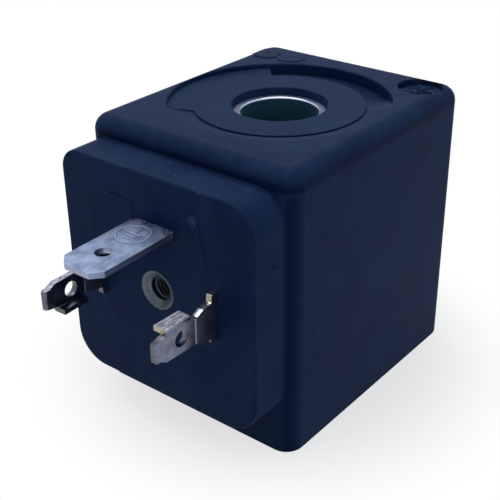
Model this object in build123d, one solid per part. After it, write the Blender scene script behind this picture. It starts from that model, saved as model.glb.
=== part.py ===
from build123d import *
import os
from math import atan2, degrees, radians, sqrt, tan

# The coil of a solenoid valve. A bobbin wound with wire stands in a U of steel strip, which a
# steel ring in each end of the bore carries on to the valve's armature tube. All of it is
# moulded into a square block with a pad, from which three flat blades and a threaded insert
# serve a cable connector.
# Lengths are in millimetres. The origin lies on the bore's axis in the bottom face, +Z runs up
# the bore and the connector's side faces -Y. A reach is a distance from the bore's axis
# towards -Y, and an angle is measured from +X towards +Y.

# Moulded body
body_width = 32.0
body_front = 18.8
body_back = 19.2
body_height = 38.2
side_edge_radius = 2.5
top_edge_radius = 2.0

# Connector pad
pad_width = 29.9
pad_thickness = 5.45
pad_height = 30.2
pad_below_top = 2.2
pad_upper_left_radius = 2.8
pad_upper_right_radius = 4.2
pad_lower_radius = 4.4
pad_rim_chamfer = 0.3

# Recess in the top face: a round seat, a ledge level with it, a deeper track and a ramp
recess_radius = 14.45
seat_radius = 11.1
seat_depth = 0.63
track_depth = 1.5
ramp_foot_depth = 0.85
track_start_angle = 28.0
track_end_angle = 132.0
ledge_end_angle = 230.5

# Marks of the moulding tool at the back corners of the top face
cup_radius = 3.0
cup_depth = 0.8
cup_from_side = 4.0
cup_from_back = 4.3
button_radius = 2.2
button_height = 0.15
outer_button_from_side = 3.0
outer_button_from_back = 4.8
inner_button_from_side = 6.9
inner_button_from_back = 4.3

# Bore and its two steel rings
bore_radius = 5.0
ring_wall = 2.0
ring_length = 9.0
ring_top_depth = 1.56
ring_chamfer = 0.35
throat_mouth_radius = 6.27
throat_foot_radius = 5.96

# Gap left between pieces that touch in the real coil
fit = 0.05

# Yoke, bent from steel strip
strip_thickness = 3.0
yoke_width = 25.0
yoke_cover = 1.6
yoke_reach = 17.0
bend_inside = 0.5
yoke_corner_chamfer = 2.0

# Bobbin and winding
tube_wall = 0.95
flange_radius = 13.8
flange_thickness = 1.2
winding_depth = 5.2
tape_thickness = 0.3

# Connector's pattern, from the place of its screw
connector_below_top = 17.15
line_blade_offset = 9.0
ground_blade_rise = 8.55
blade_thickness = 0.8
blade_width = 6.3

# Ground blade
ground_blade_length = 12.1
ground_blade_droop = 2.64
blade_kink_reach = 2.2
ground_tip_width = 3.7
ground_tip_length = 1.3
ground_hole_reach = 7.9
ground_hole_radius = 1.0
ground_bend_inside = 0.2
ground_riser_step = 0.6
ground_foot_gap = 0.5

# Rivet between the ground blade and the yoke
rivet_radius = 0.7
rivet_head_radius = 1.1
rivet_head_height = 0.4
small_hole_sides = 12

# Line blades: a root as wide as the strip, then a narrower blade with its upper edge folded over
line_root_length = 3.7
line_root_shoulder_length = 0.85
line_root_upper_step = 0.95
line_root_upper_slope_start = 2.3
line_root_upper_slope_end = 3.45
line_root_lower_step = 0.7
line_root_lower_slope_start = 2.9
line_blade_rise = 2.15
line_blade_drop = 1.85
line_blade_lean = 2.0
line_lip_start = 4.4
line_lip_end = 8.3
line_lip_width = 1.9
line_lip_thickness = 0.65
line_lip_bend_radius = 0.35
line_tip_end = 10.1
line_tip_height = 2.76
line_tip_slope_length = 1.0
line_tip_upper_taper = 0.28
line_tip_corner = 0.2
line_hole_reach = 6.0
line_hole_radius = 1.0

# Tails of the line blades inside the body
root_anchor_depth = 4.0
tail_width = 3.0
tail_length = 10.65
tail_hole_inset = 1.0
tail_hole_radius = 0.35

# Threaded insert for the connector's screw
insert_radius = 2.6
insert_length = 8.4
insert_groove_width = 1.2
insert_groove_depth = 0.5
screw_core_radius = 1.25
screw_hole_depth = 7.0
countersink_radius = 2.25
countersink_depth = 1.0

# Carrier that holds the blades and the insert
carrier_skin = 1.2
carrier_half_width = 10.9
carrier_drop = 6.55
carrier_rise = 4.55
tower_foot_rise = 3.35
tower_below_yoke = 1.64
tower_foot_half_width = 8.55
tower_top_half_width = 6.9
tower_gap = 0.15
pocket_half_height = 1.85
pocket_margin = 1.0
pocket_depth = 2.0

# Leads from the winding to the line blades
lead_radius = 0.25
small_round_sides = 6
lead_offset = 10.1
lead_bend_radius = 0.5
lead_slot_width = 0.8
lead_slot_depth = 0.8
lead_end_gap = 0.1
sleeve_wall = 0.22
sleeve_gap = 0.03
sleeve_end_gap = 1.4
lead_channel_half_width = 0.7
solder_radius = 0.8
solder_tip_radius = 0.4
solder_height = 0.6

# Sizes that follow from those above
pad_face = body_front + pad_thickness
pad_top = body_height - pad_below_top
pad_bottom = pad_top - pad_height
connector_height = body_height - connector_below_top
ring_radius = bore_radius + ring_wall
ring_top = body_height - ring_top_depth
seat_level = body_height - seat_depth
lower_leg_top = yoke_cover + strip_thickness
upper_leg_bottom = ring_top - strip_thickness
carrier_bottom = connector_height - carrier_drop
carrier_shoulder = connector_height + carrier_rise
tower_bottom = connector_height + tower_foot_rise
tower_top = upper_leg_bottom - tower_below_yoke
bobbin_bottom = lower_leg_top + fit
bobbin_top = upper_leg_bottom - fit
tube_radius = ring_radius + fit + tube_wall
winding_bottom = bobbin_bottom + flange_thickness + fit
winding_top = bobbin_top - flange_thickness - fit
winding_radius = tube_radius + fit + winding_depth
tape_radius = winding_radius + fit + tape_thickness
web_inside = flange_radius + bend_inside
web_outside = web_inside + strip_thickness
ground_blade_top = connector_height + ground_blade_rise + blade_thickness / 2
ground_blade_bottom = ground_blade_top - blade_thickness
ground_foot_top = upper_leg_bottom - fit
ground_foot_bottom = ground_foot_top - blade_thickness
ground_foot_reach = flange_radius + ground_foot_gap
ground_riser_reach = yoke_reach + ground_riser_step
rivet_reach = ground_foot_reach + rivet_head_radius
tail_end_reach = pad_face - tail_length
tail_hole_reach = tail_end_reach + tail_hole_inset
blade_inner_face = line_blade_offset - blade_thickness / 2
blade_outer_face = line_blade_offset + blade_thickness / 2
sleeve_radius = lead_radius + sleeve_gap + sleeve_wall

ON_BASE = (Align.CENTER, Align.CENTER, Align.MIN)


# Helpers for the forms that repeat

def disc(radius, low, high):
    """Upright cylinder on the bore's axis between two heights."""
    return Pos(0, 0, low) * Cylinder(radius, high - low, align=ON_BASE)


def ring(inner, outer, low, high):
    """Upright ring on the bore's axis."""
    return disc(outer, low, high) - disc(inner, low, high)


def small_disc(radius, low, high):
    """Upright disc of few sides, for a rivet or a hole that is small and hidden."""
    return Pos(0, 0, low) * extrude(RegularPolygon(radius, small_hole_sides), high - low)


def block(low, high):
    """Box between two opposite corners."""
    size = [b - a for a, b in zip(low, high)]
    middle = [(a + b) / 2 for a, b in zip(low, high)]
    return Pos(*middle) * Box(*size)


def turned(*points, start=0.0, end=360.0):
    """Solid turned round the bore's axis from (radius, height) points, between two angles."""
    profile = make_face(Polyline(*points, close=True))
    return Rot(0, 0, start) * revolve(Plane.XZ * profile, Axis.Z, end - start)


def from_front(outline, near, far):
    """Outline as seen from the front, made solid between two reaches."""
    return extrude(Plane.XZ.offset(near) * outline, far - near)


def from_side(outline, left, right):
    """Outline in Y and Z, made solid between two places along X."""
    return extrude(Plane.YZ.offset(left) * outline, right - left)


def polygon(*points):
    """Closed outline with sharp corners."""
    return make_face(Polyline(*points, close=True))


def rounded_polygon(corners):
    """Closed outline from (across, up, radius) corners."""
    points = [(across, up) for across, up, radius in corners]
    radii = [radius for across, up, radius in corners]
    return make_face(FilletPolyline(*points, radius=radii, close=True))


def mirrored(shape):
    """Copy on the other side of the coil's middle plane."""
    return mirror(shape, Plane.YZ)


def half_turn(shape):
    """Copy turned half round about the screw's axis, which swaps left with right and top with bottom."""
    return Pos(0, 0, 2 * connector_height) * Rot(0, 180, 0) * shape


# Magnetic circuit

def yoke_blank(grow=0.0):
    """The bent strip before its holes are punched, grown all round for the hollow that holds it."""
    inside = bend_inside - grow
    outside = bend_inside + strip_thickness + grow
    front = -yoke_reach - grow
    outline = rounded_polygon([
        (front, yoke_cover - grow, 0),
        (web_outside + grow, yoke_cover - grow, outside),
        (web_outside + grow, ring_top + grow, outside),
        (front, ring_top + grow, 0),
        (front, upper_leg_bottom - grow, 0),
        (web_inside - grow, upper_leg_bottom - grow, inside),
        (web_inside - grow, lower_leg_top + grow, inside),
        (front, lower_leg_top + grow, 0),
    ])
    half_width = yoke_width / 2 + grow
    return from_side(outline, -half_width, half_width)


def yoke_frame():
    """U of strip with a hole in each leg for a pole ring and a small one for the rivet."""
    blank = yoke_blank()
    corners = blank.edges().filter_by(Axis.Z).group_by(Axis.Y)[0]
    rivet_hole = Pos(0, -rivet_reach, 0) * small_disc(rivet_radius + fit, upper_leg_bottom, ring_top)
    return chamfer(corners, yoke_corner_chamfer) - disc(ring_radius + fit, 0, body_height) - rivet_hole


def upper_pole_ring():
    """Steel ring at the bore's upper end, chamfered where the armature tube enters."""
    low = ring_top - ring_length
    return turned(
        (bore_radius, low),
        (ring_radius, low),
        (ring_radius, ring_top),
        (bore_radius + ring_chamfer, ring_top),
        (bore_radius, ring_top - ring_chamfer),
    )


def lower_pole_ring():
    """Steel ring at the bore's lower end, flush with the bottom face."""
    return ring(bore_radius, ring_radius, 0, ring_length)


# Bobbin and winding

def lead_slot():
    """Groove in the lower flange that leads the first turn's wire out from the tube."""
    floor = bobbin_bottom + flange_thickness - lead_slot_depth
    groove = block((tube_radius, -lead_slot_width / 2, floor),
                   (flange_radius + 1, lead_slot_width / 2, winding_bottom + fit))
    return Rot(0, 0, -135) * groove


def bobbin():
    """Flanged tube with a seat at each end for a pole ring."""
    seat = ring_radius + fit
    lower_seat_top = ring_length + fit
    upper_seat_bottom = ring_top - ring_length - fit
    spool = turned(
        (seat, bobbin_bottom),
        (flange_radius, bobbin_bottom),
        (flange_radius, bobbin_bottom + flange_thickness),
        (tube_radius, bobbin_bottom + flange_thickness),
        (tube_radius, bobbin_top - flange_thickness),
        (flange_radius, bobbin_top - flange_thickness),
        (flange_radius, bobbin_top),
        (seat, bobbin_top),
        (seat, upper_seat_bottom),
        (bore_radius, upper_seat_bottom),
        (bore_radius, lower_seat_top),
        (seat, lower_seat_top),
    )
    return spool - lead_slot()


def winding():
    """The wound wire, as one body of copper."""
    return ring(tube_radius + fit, winding_radius, winding_bottom, winding_top)


def winding_tape():
    """Band of tape round the last layer."""
    return ring(winding_radius + fit, tape_radius, winding_bottom, winding_top)


# Blades

def ground_tail(grow=0.0):
    """Ground blade up to its kink, with a riser and a foot that reach up under the yoke's leg."""
    front = -(pad_face + blade_kink_reach)
    inner_bend = ground_bend_inside - grow
    outer_bend = ground_bend_inside + blade_thickness + grow
    riser_front = -ground_riser_reach - grow
    riser_back = -ground_riser_reach + blade_thickness + grow
    foot_end = -ground_foot_reach + grow
    half_width = blade_width / 2 + grow
    return from_side(rounded_polygon([
        (front, ground_blade_bottom - grow, 0),
        (riser_back, ground_blade_bottom - grow, outer_bend),
        (riser_back, ground_foot_bottom - grow, inner_bend),
        (foot_end, ground_foot_bottom - grow, 0),
        (foot_end, ground_foot_top + grow, 0),
        (riser_front, ground_foot_top + grow, outer_bend),
        (riser_front, ground_blade_top + grow, inner_bend),
        (front, ground_blade_top + grow, 0),
    ]), -half_width, half_width)


def ground_blade():
    """Flat blade that droops a little past its kink, on the tail that holds it inside."""
    half_width = blade_width / 2
    kink = -(pad_face + blade_kink_reach)
    tip = -(pad_face + ground_blade_length)
    drop = (kink - tip) * tan(radians(ground_blade_droop))
    side_view = polygon(
        (kink, ground_blade_bottom),
        (kink, ground_blade_top),
        (tip, ground_blade_top - drop),
        (tip, ground_blade_bottom - drop),
    )
    plan = polygon(
        (-half_width, kink),
        (-half_width, tip + ground_tip_length),
        (-ground_tip_width / 2, tip),
        (ground_tip_width / 2, tip),
        (half_width, tip + ground_tip_length),
        (half_width, kink),
    )
    blade = from_side(side_view, -half_width, half_width) & extrude(plan, body_height)
    hole = Pos(0, -(pad_face + ground_hole_reach), ground_blade_bottom) * Cylinder(ground_hole_radius, 4)
    rivet_hole = small_disc(rivet_radius + fit, ground_foot_bottom, ground_foot_top)
    return ground_tail() + blade - hole - Pos(0, -rivet_reach, 0) * rivet_hole


def ground_rivet():
    """Rivet that draws the ground blade's foot up under the yoke's upper leg."""
    under_foot = ground_foot_bottom - fit
    over_leg = ring_top + fit
    lower_head = small_disc(rivet_head_radius, under_foot - rivet_head_height, under_foot)
    upper_head = small_disc(rivet_head_radius, over_leg, over_leg + rivet_head_height)
    shank = small_disc(rivet_radius, under_foot, over_leg)
    return Pos(0, -rivet_reach, 0) * (lower_head + shank + upper_head)


def rivet_hollow():
    """Space that the rivet takes in the moulding."""
    low = ground_foot_bottom - rivet_head_height - 2 * fit
    high = ring_top + rivet_head_height + 2 * fit
    return Pos(0, -rivet_reach, 0) * small_disc(rivet_head_radius + fit, low, high)


def line_terminal_right():
    """Line blade on the +X side, from its tail inside to its tapered tip."""
    middle = connector_height

    def side_point(out, up):
        """Place in the side view, from a distance out of the pad's face and a height over the screw."""
        return (-(pad_face + out), middle + up)

    half_root = blade_width / 2
    half_tail = tail_width / 2
    upper_shoulder = half_root - line_root_upper_step
    lower_shoulder = half_root - line_root_lower_step
    fold_foot = line_blade_rise - line_lip_thickness
    root_outline = polygon(
        side_point(-tail_length, -half_tail),
        side_point(-tail_length, half_tail),
        side_point(-root_anchor_depth, half_tail),
        side_point(-root_anchor_depth, half_root),
        side_point(line_root_shoulder_length, half_root),
        side_point(line_root_shoulder_length, upper_shoulder),
        side_point(line_root_upper_slope_start, upper_shoulder),
        side_point(line_root_upper_slope_end, fold_foot),
        side_point(line_root_length, fold_foot),
        side_point(line_root_length, -line_blade_drop),
        side_point(line_root_lower_slope_start, -lower_shoulder),
        side_point(line_root_shoulder_length, -lower_shoulder),
        side_point(line_root_shoulder_length, -half_root),
        side_point(-root_anchor_depth, -half_root),
        side_point(-root_anchor_depth, -half_tail),
    )
    root = from_side(root_outline, blade_inner_face, blade_outer_face)
    tail_hole = Pos(line_blade_offset, -tail_hole_reach, middle) * Rot(0, 90, 0)
    root -= tail_hole * extrude(RegularPolygon(tail_hole_radius, small_hole_sides), blade_thickness, both=True)

    tip_half = line_tip_height / 2
    blade_start = line_root_length - blade_thickness / 2
    blade_outline = polygon(
        side_point(blade_start, -line_blade_drop),
        side_point(blade_start, fold_foot),
        side_point(line_lip_end, fold_foot),
        side_point(line_lip_end, tip_half),
        side_point(line_tip_end, tip_half - line_tip_upper_taper),
        side_point(line_tip_end, -tip_half + line_tip_corner),
        side_point(line_tip_end - line_tip_corner, -tip_half),
        side_point(line_lip_end + line_tip_slope_length, -tip_half),
        side_point(line_lip_end, -line_blade_drop),
    )
    blade = from_side(blade_outline, blade_inner_face, blade_outer_face)
    lip_outline = rounded_polygon([
        (blade_outer_face, middle, 0),
        (blade_outer_face, middle + line_blade_rise, line_lip_bend_radius),
        (blade_outer_face - line_lip_width, middle + line_blade_rise, 0),
        (blade_outer_face - line_lip_width, middle + fold_foot, 0),
        (blade_inner_face, middle + fold_foot, 0),
        (blade_inner_face, middle, 0),
    ])
    blade += from_front(lip_outline, pad_face + line_lip_start, pad_face + line_lip_end)
    blade_hole = Pos(line_blade_offset, -(pad_face + line_hole_reach), middle) * Rot(0, 90, 0)
    blade -= blade_hole * Cylinder(line_hole_radius, 2 * blade_thickness)
    hinge = Pos(line_blade_offset, -(pad_face + line_root_length), 0)
    leaned = hinge * Rot(0, 0, -line_blade_lean) * hinge.inverse() * blade
    return root + leaned


def line_terminal_left():
    """The same blade on the -X side, turned half round about the screw's axis."""
    return half_turn(line_terminal_right())


def line_terminal_hollow():
    """Space that the right line blade's root and tail take in the carrier and the moulding."""
    half_root = blade_width / 2 + fit
    half_tail = tail_width / 2 + fit
    left, right = blade_inner_face - fit, blade_outer_face + fit
    root = block((left, -pad_face - 1, connector_height - half_root),
                 (right, -pad_face + root_anchor_depth + fit, connector_height + half_root))
    tail = block((left, -pad_face + root_anchor_depth, connector_height - half_tail),
                 (right, -tail_end_reach + fit, connector_height + half_tail))
    return root + tail


# Threaded insert

def screw_insert():
    """Insert with a countersunk blind hole and a groove that holds it in the carrier."""
    groove_start = (insert_length - insert_groove_width) / 2
    groove_radius = insert_radius - insert_groove_depth
    profile = turned(
        (0, -insert_length),
        (insert_radius, -insert_length),
        (insert_radius, -groove_start - insert_groove_width),
        (groove_radius, -groove_start - insert_groove_width),
        (groove_radius, -groove_start),
        (insert_radius, -groove_start),
        (insert_radius, 0),
        (countersink_radius, 0),
        (screw_core_radius, -countersink_depth),
        (screw_core_radius, -screw_hole_depth),
        (0, -screw_hole_depth - screw_core_radius / 2),
    )
    return Pos(0, -pad_face, connector_height) * Rot(90, 0, 0) * profile


def insert_hollow():
    """Space that the threaded insert takes in the carrier and the moulding."""
    hole = Cylinder(insert_radius + fit, insert_length + fit + 1, align=ON_BASE)
    return Pos(0, -pad_face - 1, connector_height) * Rot(-90, 0, 0) * hole


# Carrier of the blades

def tower_outline(grow=0.0):
    """Front view of the right tower, which stands beside the ground blade."""
    inner = blade_width / 2 + tower_gap - grow
    return polygon(
        (inner, tower_bottom - grow),
        (tower_foot_half_width + grow, tower_bottom - grow),
        (tower_top_half_width + grow, tower_top + grow),
        (inner, tower_top + grow),
    )


def carrier_blank(grow=0.0):
    """Carrier before its slots are cut, with a back hollowed to lie against the bobbin."""
    front = pad_face - carrier_skin + grow
    half_width = carrier_half_width + grow
    body = block((-half_width, -front, carrier_bottom - grow), (half_width, 0, carrier_shoulder + grow))
    seat_half_width = blade_width / 2 + tower_gap
    seat = block((-seat_half_width, -front, carrier_shoulder), (seat_half_width, 0, ground_blade_bottom - fit))
    tower = from_front(tower_outline(grow), 0, pad_face)
    behind = disc(flange_radius + fit - grow, 0, body_height)
    back_half = block((-body_width, -lead_offset + lead_channel_half_width, 0), (body_width, 1, body_height))
    return body + seat + tower + mirrored(tower) - behind - back_half


def lead_channel():
    """Upright square groove down the carrier's back for the first turn's lead."""
    near, far = lead_offset - lead_channel_half_width, lead_offset + lead_channel_half_width
    return block((-far, -far, bobbin_bottom), (-near, -near, connector_height + lead_channel_half_width))


def terminal_carrier():
    """Carrier with slots for the line blades, a pocket behind each and a hole for the insert."""
    pocket = block(
        (blade_inner_face - pocket_margin, -tail_hole_reach - pocket_depth, connector_height - pocket_half_height),
        (carrier_half_width + 1, 0, connector_height + pocket_half_height))
    slots = line_terminal_hollow() + pocket
    carrier = carrier_blank() - slots - half_turn(slots)
    return carrier - insert_hollow() - ground_tail(fit) - lead_channel()


# Leads

def wire_along(path):
    """Wire along a path, with a section of few sides because it is a hair's size."""
    return sweep((path ^ 0) * RegularPolygon(lead_radius, small_round_sides), path=path)


def finish_lead():
    """Lead from the last turn to the right line blade's tail."""
    start_reach = sqrt((tape_radius + fit) ** 2 - (lead_offset - lead_radius) ** 2)
    path = FilletPolyline(
        (lead_offset, -start_reach, connector_height),
        (lead_offset, -tail_hole_reach, connector_height),
        (blade_inner_face + lead_end_gap, -tail_hole_reach, connector_height),
        radius=lead_bend_radius,
    )
    return wire_along(path)


def start_lead():
    """Lead from the first turn, out along the flange's groove and up to the left line blade's tail."""
    level = bobbin_bottom + flange_thickness - lead_slot_depth / 2
    start = (tube_radius + 2 * lead_radius) / sqrt(2)
    path = FilletPolyline(
        (-start, -start, level),
        (-lead_offset, -lead_offset, level),
        (-lead_offset, -lead_offset, connector_height),
        (-lead_offset, -tail_hole_reach, connector_height),
        (-blade_inner_face - lead_end_gap, -tail_hole_reach, connector_height),
        radius=lead_bend_radius,
    )
    return wire_along(path)


def sleeve(length):
    """Insulating tube, from the origin along +Z."""
    section = RegularPolygon(sleeve_radius, small_round_sides)
    section -= RegularPolygon(lead_radius + sleeve_gap, small_round_sides)
    return extrude(section, length)


def start_lead_sleeve():
    """Sleeve on the upright stretch of the start lead."""
    low = winding_bottom + sleeve_end_gap
    high = connector_height - sleeve_end_gap
    return Pos(-lead_offset, -lead_offset, low) * sleeve(high - low)


def finish_lead_sleeve():
    """Sleeve on the straight stretch of the finish lead."""
    near = sqrt((tape_radius + fit) ** 2 - (lead_offset - sleeve_radius) ** 2)
    far = tail_end_reach
    return Pos(lead_offset, -near, connector_height) * Rot(90, 0, 0) * sleeve(far - near)


def finish_solder_joint():
    """Cone of solder over the lead's end, on the blade's inner face."""
    slope = degrees(atan2(solder_radius - solder_tip_radius, solder_height))
    joint = extrude(RegularPolygon(solder_radius, small_hole_sides), solder_height, taper=slope)
    return Pos(blade_inner_face - fit, -tail_hole_reach, connector_height) * Rot(0, -90, 0) * joint


def start_solder_joint():
    """The same joint on the left blade."""
    return mirrored(finish_solder_joint())


# Moulded body

def pad_outline():
    """Front view of the connector pad."""
    half_width = pad_width / 2
    return rounded_polygon([
        (-half_width, pad_bottom, pad_lower_radius),
        (half_width, pad_bottom, pad_lower_radius),
        (half_width, pad_top, pad_upper_right_radius),
        (-half_width, pad_top, pad_upper_left_radius),
    ])


def top_recess():
    """Everything that is sunk into the top face round the bore."""
    above = body_height + 1
    track_floor = body_height - track_depth
    seat = disc(seat_radius, seat_level, above)
    track = turned((seat_radius, track_floor), (recess_radius, track_floor), (recess_radius, above),
                   (seat_radius, above), start=track_start_angle, end=track_end_angle)
    ledge = turned((0, seat_level), (recess_radius, seat_level), (recess_radius, above), (0, above),
                   start=track_end_angle, end=ledge_end_angle)
    ramp_top = recess_radius + (above - body_height) * (recess_radius - seat_radius) / ramp_foot_depth
    ramp = turned((seat_radius, body_height - ramp_foot_depth), (ramp_top, above), (seat_radius, above),
                  start=ledge_end_angle - 360, end=track_start_angle)
    throat = turned((0, ring_top), (throat_foot_radius, ring_top), (throat_mouth_radius, seat_level),
                    (throat_mouth_radius, above), (0, above))
    return [seat, track, ledge, ramp, throat]


def corner_marks():
    """The two raised buttons at the back left."""
    back = body_back
    outer = Pos(outer_button_from_side - body_width / 2, back - outer_button_from_back, 0)
    inner = Pos(inner_button_from_side - body_width / 2, back - inner_button_from_back, 0)
    button = disc(button_radius, body_height - 1, body_height + button_height)
    return outer * button + inner * button


def inner_hollow():
    """Space that the pieces inside take, where the moulding flowed round them."""
    bobbin_space = disc(flange_radius + fit, bobbin_bottom - fit, bobbin_top + fit)
    upper_ring_space = disc(ring_radius + fit, bobbin_top, ring_top + fit)
    lower_ring_space = disc(ring_radius + fit, -1, bobbin_bottom)
    terminals = line_terminal_hollow()
    return [
        bobbin_space, upper_ring_space, lower_ring_space, yoke_blank(fit), rivet_hollow(),
        carrier_blank(fit), terminals, half_turn(terminals), insert_hollow(), ground_tail(fit),
        lead_channel(),
    ]


def encapsulation():
    """Square block with its connector pad, recess, marks and the hollow for what it holds."""
    depth = body_front + body_back
    shell = Pos(0, (body_back - body_front) / 2, 0) * extrude(
        RectangleRounded(body_width, depth, side_edge_radius), body_height)
    shell = fillet(shell.edges().group_by(Axis.Z)[-1], top_edge_radius)
    pad = from_front(pad_outline(), body_front - side_edge_radius, pad_face)
    pad = chamfer(pad.edges().group_by(Axis.Y)[0], pad_rim_chamfer)
    buttons = corner_marks() & (Pos(0, 0, button_height) * shell)
    shell = shell + pad + buttons
    for cut in top_recess() + inner_hollow():
        shell -= cut
    cup = disc(cup_radius, body_height - cup_depth, body_height + 1)
    return shell - Pos(body_width / 2 - cup_from_side, body_back - cup_from_back, 0) * cup


PIECES = [
    encapsulation, bobbin, winding, winding_tape, yoke_frame, upper_pole_ring, lower_pole_ring,
    terminal_carrier, ground_blade, ground_rivet, line_terminal_right, line_terminal_left,
    screw_insert, start_lead, finish_lead, start_lead_sleeve, finish_lead_sleeve,
    start_solder_joint, finish_solder_joint,
]

os.makedirs("parts", exist_ok=True)
for piece in PIECES:
    solid = piece()
    export_step(solid, f"parts/{piece.__name__}.step")
    print(piece.__name__, len(solid.solids()), "solid", round(solid.volume, 3), "mm3")
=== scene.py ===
# %% [markdown]
# # The coil of a solenoid valve
# This lesson dresses the imported model of a valve coil: a block of dark moulded plastic with a
# steel-ringed bore, a recessed top, and a pad with three tinned blades and a threaded insert.
# The imported model is the fixed frame. What is seen is modelled again here with fine edges,
# stamped marks and a real thread, and what is hidden keeps its plain solid with a better finish.

# %% Frame and units
from math import atan2, cos, degrees, pi, radians, sin

import bmesh
import bpy
from mathutils import Matrix, Vector


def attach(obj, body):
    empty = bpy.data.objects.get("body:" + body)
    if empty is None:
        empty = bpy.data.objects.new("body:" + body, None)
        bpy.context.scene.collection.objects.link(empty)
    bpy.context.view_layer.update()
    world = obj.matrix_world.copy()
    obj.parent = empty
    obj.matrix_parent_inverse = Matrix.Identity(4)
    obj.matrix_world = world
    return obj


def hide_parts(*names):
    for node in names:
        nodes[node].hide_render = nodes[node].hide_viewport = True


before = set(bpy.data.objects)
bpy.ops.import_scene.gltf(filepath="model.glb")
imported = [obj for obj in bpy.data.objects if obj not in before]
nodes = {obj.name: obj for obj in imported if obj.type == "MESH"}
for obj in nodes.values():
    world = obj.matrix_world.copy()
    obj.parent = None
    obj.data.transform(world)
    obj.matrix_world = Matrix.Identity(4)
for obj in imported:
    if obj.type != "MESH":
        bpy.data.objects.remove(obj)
scene = bpy.context.scene
MM = 0.001
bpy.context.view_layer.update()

# %% [markdown]
# ## The camera
# The photograph looks down on the coil from the right of its connector. The camera's place
# was solved from the block's edges, so it is given here as a place and three angles. A camera
# looks along its own -Z, so a quarter turn less the elevation tips it up from looking down.

# %% Camera
camera_place = Vector((73.28, -97.55, 81.97)) * MM
camera_azimuth = 38.80
camera_elevation = 28.33
camera_roll = -0.69
camera_lens = 71.99

camera = bpy.data.objects.new("camera", bpy.data.cameras.new("camera"))
scene.collection.objects.link(camera)
camera.data.lens = camera_lens
camera.data.sensor_width = 36.0
camera.data.clip_start = 0.005
camera.data.clip_end = 10.0
heading = Matrix.Rotation(radians(camera_azimuth), 4, "Z")
tilt = Matrix.Rotation(radians(90 - camera_elevation), 4, "X")
roll = Matrix.Rotation(radians(camera_roll), 4, "Z")
camera.matrix_world = Matrix.Translation(camera_place) @ heading @ tilt @ roll
scene.camera = camera
print("camera at", [round(v / MM, 1) for v in camera_place])

# %% [markdown]
# ## Working with operators
# Every piece starts as a primitive and is shaped by the edit-mode operators that a person would
# use. An operator works on all that is selected, so each helper first deselects everything.
# Sizes are in millimetres here, and MM turns them into Blender's metres.

# %% Helpers for primitives


def deselect():
    """Leaves edit mode and selects nothing."""
    if bpy.context.object and bpy.context.object.mode != "OBJECT":
        bpy.ops.object.mode_set(mode="OBJECT")
    bpy.ops.object.select_all(action="DESELECT")


def work_on(piece):
    """Makes one piece the only selected and the active object."""
    deselect()
    piece.select_set(True)
    bpy.context.view_layer.objects.active = piece


def named(name):
    """Names the primitive that was just added, and moves its size and place into its mesh."""
    piece = bpy.context.object
    piece.name = name
    piece.data.name = name
    bpy.ops.object.transform_apply(location=True, rotation=True, scale=True)
    return piece


def twin(piece, name):
    """Copy of a piece with a mesh of its own."""
    copy = piece.copy()
    copy.data = piece.data.copy()
    copy.name = name
    scene.collection.objects.link(copy)
    return copy


def box(name, low, high):
    """Box between two opposite corners."""
    deselect()
    middle = [(a + b) / 2 * MM for a, b in zip(low, high)]
    size = [(b - a) * MM for a, b in zip(low, high)]
    bpy.ops.mesh.primitive_cube_add(size=1, location=middle, scale=size)
    return named(name)


def rod(name, radius, start, end, axis="Z", at=(0, 0), end_radius=None, sides=180):
    """Cylinder, or cone where end_radius is given, between two places along an axis.

    at gives its place on the other two axes, in their order X, Y, Z.
    """
    deselect()
    tip = radius if end_radius is None else end_radius
    tilt = {"X": (0, pi / 2, 0), "Y": (-pi / 2, 0, 0), "Z": (0, 0, 0)}[axis]
    place = list(at)
    place.insert("XYZ".index(axis), (start + end) / 2)
    bpy.ops.mesh.primitive_cone_add(
        vertices=sides, radius1=radius * MM, radius2=tip * MM, depth=(end - start) * MM,
        location=[v * MM for v in place], rotation=tilt)
    return named(name)


# %% [markdown]
# Faces and edges are chosen in code by where they are, and then bevelled or moved. Choosing
# edges by their ends is the code's way of clicking on them.

# %% Helpers for edit mode


def round_edges(piece, radius, steps, test):
    """Rounds the edges whose two ends, in millimetres, pass the test together."""
    work_on(piece)
    bpy.ops.object.mode_set(mode="EDIT")
    bpy.ops.mesh.select_mode(type="EDGE")
    bpy.ops.mesh.select_all(action="DESELECT")
    mesh = bmesh.from_edit_mesh(piece.data)
    count = 0
    for edge in mesh.edges:
        if test(*(vertex.co / MM for vertex in edge.verts)):
            edge.select_set(True)
            count += 1
    bmesh.update_edit_mesh(piece.data)
    if count:
        bpy.ops.mesh.bevel(offset=radius * MM, segments=steps, affect="EDGES",
                           clamp_overlap=False)
    bpy.ops.object.mode_set(mode="OBJECT")
    return count


def near(a, b, slack=0.02):
    """True if two lengths in millimetres are the same."""
    return abs(a - b) < slack


def both(test):
    """Test for an edge, from a test that both of its ends must pass."""
    return lambda a, b: test(a) and test(b)


def edit_all(piece):
    """Opens a piece in edit mode with all of it selected."""
    work_on(piece)
    bpy.ops.object.mode_set(mode="EDIT")
    bpy.ops.mesh.select_all(action="SELECT")


def outward(piece):
    """Merges doubled points and turns every face outwards."""
    edit_all(piece)
    bpy.ops.mesh.remove_doubles(threshold=0.0005 * MM)
    bpy.ops.mesh.normals_make_consistent(inside=False)
    bpy.ops.object.mode_set(mode="OBJECT")
    return piece


def modify(piece, kind, **settings):
    """Adds one modifier with its settings and applies it."""
    work_on(piece)
    step = piece.modifiers.new("step", kind)
    for key, value in settings.items():
        setattr(step, key, value)
    bpy.ops.object.modifier_apply(modifier=step.name)
    return piece


def combine(piece, other, operation="DIFFERENCE"):
    """Cuts a piece with another, joins them, or keeps what they share, and uses the other up."""
    modify(piece, "BOOLEAN", operation=operation, object=other, solver="EXACT")
    bpy.data.objects.remove(other)
    return piece


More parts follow.
